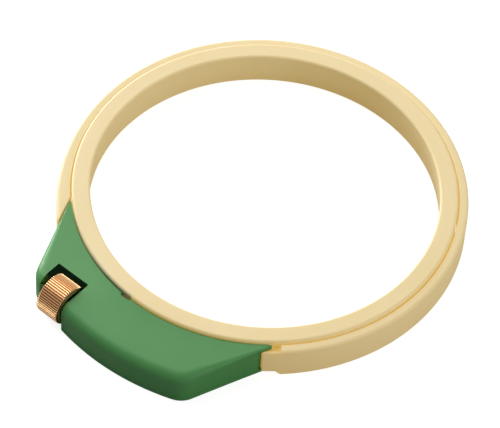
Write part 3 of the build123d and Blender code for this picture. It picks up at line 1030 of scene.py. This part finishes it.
def model_cover_screws(housing, sizes):
    """One countersunk screw with a cross in its head, copied to every boss."""
    low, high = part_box("cover_screws")
    neck = low.z + sizes.head_height
    point = high.z - sizes.shank_radius
    rows = [(low.z, 0, 0, 1), (low.z, sizes.head_radius, 0, 1), (neck, sizes.shank_radius, 0, 1)]
    rows += threaded(neck, point, sizes.shank_radius, sizes.cover_depth, sizes.cover_pitch, sizes.samples)
    rows += [(high.z, sizes.cover_depth, 0, 1), (high.z, 0, 0, 1)]
    screw = wrapped("cover_screw", rows, sizes.sides)
    reach = sizes.cross_length / 2
    half = sizes.cross_width / 2
    depth = low.z + sizes.cross_depth
    cross = block("cross", -OVER, depth, -reach, reach, -half, half)
    cut(cross, block("cross_arm", -OVER, depth, -half, half, -reach, reach), "UNION")
    cut(screw, cross)
    screw.data.transform(Matrix.Rotation(-pi / 2, 4, "Y"))
    first, *others = [Matrix.Translation((x, y, 0)) for x, y, _ in boss_places(housing)]
    copies = []
    for place in others:
        activate(screw)
        bpy.ops.object.duplicate()
        copies.append(bpy.context.active_object)
        copies[-1].data.transform(place)
    screw.data.transform(first)
    activate(screw)
    for copy in copies:
        copy.select_set(True)
    bpy.ops.object.join()
    return screw


# Operators

class HoopStep:
    """What all the steps share."""

    bl_options = {"REGISTER", "UNDO"}


class HOOP_OT_inner_ring(HoopStep, bpy.types.Operator):
    """Models the plain inner ring"""

    bl_idname = "hoop.inner_ring"
    bl_label = "Inner Ring"

    def execute(self, context):
        ring = model_inner_ring(context.scene.hoop_rings)
        smooth(ring)
        dress(ring, "cream_plastic")
        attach(ring, "inner_ring")
        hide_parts("inner_ring")
        return {"FINISHED"}


class HOOP_OT_outer_ring(HoopStep, bpy.types.Operator):
    """Models the springy outer ring as two halves that meet at the back"""

    bl_idname = "hoop.outer_ring"
    bl_label = "Outer Ring"

    def execute(self, context):
        sizes = context.scene.hoop_rings
        housing = context.scene.hoop_housing
        left = self.left_half(sizes, housing)
        right = self.right_half(sizes, housing)
        for half in (left, right):
            ease_edges(half, sizes.edge_round, taper=self.away_from_joint)
            tidy_mesh(half)
            smooth(half)
            dress(half, "cream_plastic")
        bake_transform(left)
        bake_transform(right)
        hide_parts("outer_ring_fixed_end", "outer_ring_back")
        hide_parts("outer_ring_moving_end")
        return {"FINISHED"}

    def left_half(self, sizes, housing):
        """Fixed end: thickened, cut parallel to the housing, with its tongue and lug."""
        under_housing = -36
        half = outer_section("outer_ring_left", sizes, back_high.x)
        spin_section(half, -180, under_housing, sizes.steps)
        swell_outside(half, sizes, housing.front_radius)
        # The end is cut off along the housing's straight side, with a seam's width left between them
        tip, _, side, outward = straight_side(housing, sign=-1)
        seam = tip + outward * sizes.fixed_gap
        reach = -side * 30 * MM
        away = outward * 30 * MM
        housing_side = [seam - reach, seam + reach, seam + reach - away, seam - reach - away]
        cut(half, prism("housing_side", housing_side, -OVER, 20 * MM))
        # The tongue starts inside the end, a little within its outer face
        plain_tongue = sizes.outer_inside + sizes.fixed_tongue_wall
        inset = 0.06 * MM
        first = -42
        last = self.end_turn(sizes.fixed_lug_left, plain_tongue)
        strip = tongue("tongue", sizes, housing, back_high.x - inset, first, last)
        swell_outside(strip, sizes, plain_tongue)
        cut(half, strip, "UNION")
        block_end = lug("lug", sizes.fixed_lug_left, sizes.fixed_lug_right, housing, sizes, sizes.fixed_bore)
        cut(block_end, upright_rod(
            "peg_hole", housing.peg_x, housing.peg_y, 0, cover_high.z, housing.boss_radius
        ))
        return cut(half, block_end, "UNION")

    def away_from_joint(self, place):
        """The two halves meet at the back, where nothing is rounded."""
        return float(place.y < 0 or abs(place.x) > 0.1 * MM)

    def end_turn(self, x, radius):
        """The angle at which a tongue reaches a place across the hoop, and a degree more."""
        return degrees(asin(x / radius)) + 1

    def right_half(self, sizes, housing):
        """Moving end: plain to its shoulder, then a lip before the housing and a thin tongue with its lug."""
        half = outer_section("outer_ring_right", sizes, back_high.x)
        spin_section(half, sizes.lip_angle, 180, sizes.steps)
        cut(half, pocket(housing, sizes))
        cut(half, ramp(housing, sizes))
        outside = sizes.outer_inside + sizes.moving_tongue_wall
        start = self.end_turn(sizes.moving_lug_right, outside) - 2
        cut(half, tongue("tongue", sizes, housing, outside, start, sizes.shoulder_angle + 1), "UNION")
        ends = sizes.moving_lug_left, sizes.moving_lug_right
        block_end = lug("lug", *ends, housing, sizes, sizes.moving_bore)
        nut_low, nut_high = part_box("barrel_nut")
        nut_x = (nut_low.x + nut_high.x) / 2
        cut(block_end, upright_rod("nut_bore", nut_x, knob_axis_y, 0, cover_high.z, sizes.nut_bore))
        return cut(half, block_end, "UNION")


class HOOP_OT_housing(HoopStep, bpy.types.Operator):
    """Models the housing's cover and base"""

    bl_idname = "hoop.housing"
    bl_label = "Housing"

    def execute(self, context):
        housing = context.scene.hoop_housing
        cover = model_cover(housing, context.scene.hoop_rings)
        base = model_base(housing)
        for piece, node in ((cover, "housing_cover"), (base, "housing_base")):
            tidy_mesh(piece)
            ease_edges(piece, housing.edge_round, taper=self.taper)
            if piece is cover:
                self.level(piece)
            tidy_mesh(piece)
            smooth(piece)
            dress(piece, "green_plastic")
            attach(piece, "housing")
            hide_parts(node)
        return {"FINISHED"}

    def level(self, piece):
        """Puts the points that belong to the flat top exactly on its plane."""
        for vertex in piece.data.vertices:
            if abs(cover_high.z - vertex.co.z) < 0.03 * MM:
                vertex.co.z = cover_high.z

    def taper(self, place):
        """Full rounding on the body of the housing, none in its tips, its bearings and under its roof."""
        housing = bpy.context.scene.hoop_housing
        near_axis = 2 * MM
        near_roof = 0.05 * MM
        fade = 8 * MM
        if hypot(place.y - knob_axis_y, place.z - knob_axis_z) < near_axis:
            return 0.0
        if abs(place.z - (cover_high.z - housing.roof)) < near_roof:
            return 0.0
        from_tip = radians(housing.tip_cut - abs(turn_of(place))) * housing.inner_radius
        return min(1.0, max(0.0, from_tip / fade - 0.5))


class HOOP_OT_adjuster(HoopStep, bpy.types.Operator):
    """Models the thumb knob and the screws, and finishes the washer, clip and nut"""

    bl_idname = "hoop.adjuster"
    bl_label = "Adjuster"

    def execute(self, context):
        knob = model_knob(context.scene.hoop_knob)
        tidy_mesh(knob)
        smooth(knob, 25)
        dress(knob, "turned_brass")
        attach(knob, "knob")
        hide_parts("adjuster_knob")
        spindle = model_spindle(context.scene.hoop_screw)
        fixings = model_cover_screws(context.scene.hoop_housing, context.scene.hoop_screw)
        for piece, body, node in ((spindle, "knob", "adjuster_screw"), (fixings, "housing", "cover_screws")):
            smooth(piece)
            dress(piece, "plated_steel")
            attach(piece, body)
            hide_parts(node)
        for node in ("thrust_washer", "retaining_clip"):
            dress(frame["nodes"][node], "plated_steel")
        dress(frame["nodes"]["barrel_nut"], "turned_brass")
        return {"FINISHED"}


class HOOP_OT_stage(HoopStep, bpy.types.Operator):
    """Sets the camera, the floor and the lamps"""

    bl_idname = "hoop.stage"
    bl_label = "Stage"

    def execute(self, context):
        stage = context.scene.hoop_stage
        self.camera(context.scene, stage)
        self.floor(stage)
        self.lamps()
        self.world(context.scene, stage)
        context.scene.view_settings.view_transform = "Standard"
        return {"FINISHED"}

    def camera(self, scene, stage):
        """A far camera whose ring centre falls on the photograph's pixel."""
        image_width, image_height = 500, 428
        sensor = 36.0
        heading = radians(stage.heading)
        height = radians(stage.elevation)
        ahead = Vector((sin(heading) * cos(height), cos(heading) * cos(height), -sin(height)))
        turn = ahead.to_track_quat("-Z", "Y").to_matrix() @ Matrix.Rotation(radians(stage.roll), 3, "Z")
        right, up = turn.col[0], turn.col[1]
        pixels = stage.focal_length / sensor * image_width
        across = (stage.centre_pixel_x - image_width / 2) / pixels * stage.distance
        down = (stage.centre_pixel_y - image_height / 2) / pixels * stage.distance
        place = -(right * across - up * down + ahead * stage.distance)
        bpy.ops.object.camera_add(location=place, rotation=turn.to_euler())
        camera = bpy.context.active_object
        camera.name = "view_camera"
        camera.data.sensor_width = sensor
        camera.data.lens = stage.focal_length
        camera.data.clip_end = 20.0
        scene.camera = camera

    def floor(self, stage):
        """A pale floor that shows white, with the object's shadow."""
        deselect_all()
        just_below = -0.05 * MM
        bpy.ops.mesh.primitive_plane_add(size=stage.floor_size, location=(0, 0, just_below))
        floor = new_piece("floor")
        material = bpy.data.materials.new("pale_floor")
        material.use_nodes = True
        tree = material.node_tree
        tree.nodes.remove(tree.nodes["Principled BSDF"])
        grey = stage.floor_grey
        pale = add_node(tree, "ShaderNodeBsdfDiffuse", {"Color": (grey, grey, grey, 1)})
        glow = add_node(tree, "ShaderNodeEmission", {"Color": (1, 1, 1, 1)})
        path = add_node(tree, "ShaderNodeLightPath")
        strength = add_node(tree, "ShaderNodeMath", {1: stage.floor_glow}, operation="MULTIPLY")
        both = add_node(tree, "ShaderNodeAddShader")
        link(tree, path, "Is Camera Ray", strength, 0)
        link(tree, strength, "Value", glow, "Strength")
        link(tree, pale, "BSDF", both, 0)
        link(tree, glow, "Emission", both, 1)
        link(tree, both, "Shader", tree.nodes["Material Output"], "Surface")
        floor.data.materials.append(material)

    def lamps(self):
        """A large soft lamp above to the left, a low strip behind it and a weak lamp from the right."""
        for name, place, width, height, power in (
            ("key_lamp", Vector((-0.96, 0.24, 1.25)), 1.6, 1.6, 22.0),
            ("rim_lamp", Vector((-1.1, 0.34, 0.11)), 0.9, 0.2, 13.0),
            ("fill_lamp", Vector((1.3, 0.2, 0.5)), 0.8, 0.8, 7.0),
        ):
            turn = (-place).to_track_quat("-Z", "Y").to_euler()
            bpy.ops.object.light_add(type="AREA", location=place, rotation=turn)
            lamp = bpy.context.active_object
            lamp.name = name
            lamp.data.shape = "RECTANGLE"
            lamp.data.size = width
            lamp.data.size_y = height
            lamp.data.energy = power

    def world(self, scene, stage):
        """Even light from all sides; the camera sees white there, and glossy surfaces a pale grey."""
        world = bpy.data.worlds.new("studio")
        scene.world = world
        world.use_nodes = True
        tree = world.node_tree
        background = tree.nodes["Background"]
        background.inputs["Color"].default_value = (1, 1, 1, 1)
        path = add_node(tree, "ShaderNodeLightPath")
        clear = combine(tree, "MAXIMUM", path, "Is Camera Ray", path, "Is Transmission Ray")
        sheen = remap(tree, path, "Is Glossy Ray", 0, 1, stage.sky, stage.sheen_sky)
        strength = combine(tree, "MAXIMUM", clear, "Value", sheen, "Result")
        link(tree, strength, "Value", background, "Strength")


class HOOP_PT_panel(bpy.types.Panel):
    """Lists the steps and their sizes"""

    bl_label = "Embroidery Hoop"
    bl_idname = "HOOP_PT_panel"
    bl_space_type = "VIEW_3D"
    bl_region_type = "UI"
    bl_category = "Hoop"

    def draw(self, context):
        for step in STEPS:
            self.layout.operator(step.bl_idname)
        for label in GROUPS:
            group = getattr(context.scene, label)
            box = self.layout.box()
            for name in group.bl_rna.properties.keys():
                if name not in ("rna_type", "name"):
                    box.prop(group, name)


GROUPS = {
    "hoop_rings": RingSizes,
    "hoop_housing": HousingSizes,
    "hoop_knob": KnobSizes,
    "hoop_screw": ScrewSizes,
    "hoop_colours": Colours,
    "hoop_stage": StageSizes,
}
STEPS = (HOOP_OT_stage, HOOP_OT_inner_ring, HOOP_OT_outer_ring, HOOP_OT_housing, HOOP_OT_adjuster)


def register():
    """Makes the sizes, the steps and their panel known to Blender."""
    for group in GROUPS.values():
        bpy.utils.register_class(group)
    for label, group in GROUPS.items():
        setattr(bpy.types.Scene, label, bpy.props.PointerProperty(type=group))
    for step in STEPS:
        bpy.utils.register_class(step)
    bpy.utils.register_class(HOOP_PT_panel)


def unregister():
    """Takes the panel, the steps and the sizes away again."""
    bpy.utils.unregister_class(HOOP_PT_panel)
    for step in reversed(STEPS):
        bpy.utils.unregister_class(step)
    for label, group in reversed(GROUPS.items()):
        delattr(bpy.types.Scene, label)
        bpy.utils.unregister_class(group)


def main():
    """Builds the hoop and its stage."""
    register()
    for step in STEPS:
        group, name = step.bl_idname.split(".")
        getattr(getattr(bpy.ops, group), name)()
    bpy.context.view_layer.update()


if __name__ == "__main__":
    main()
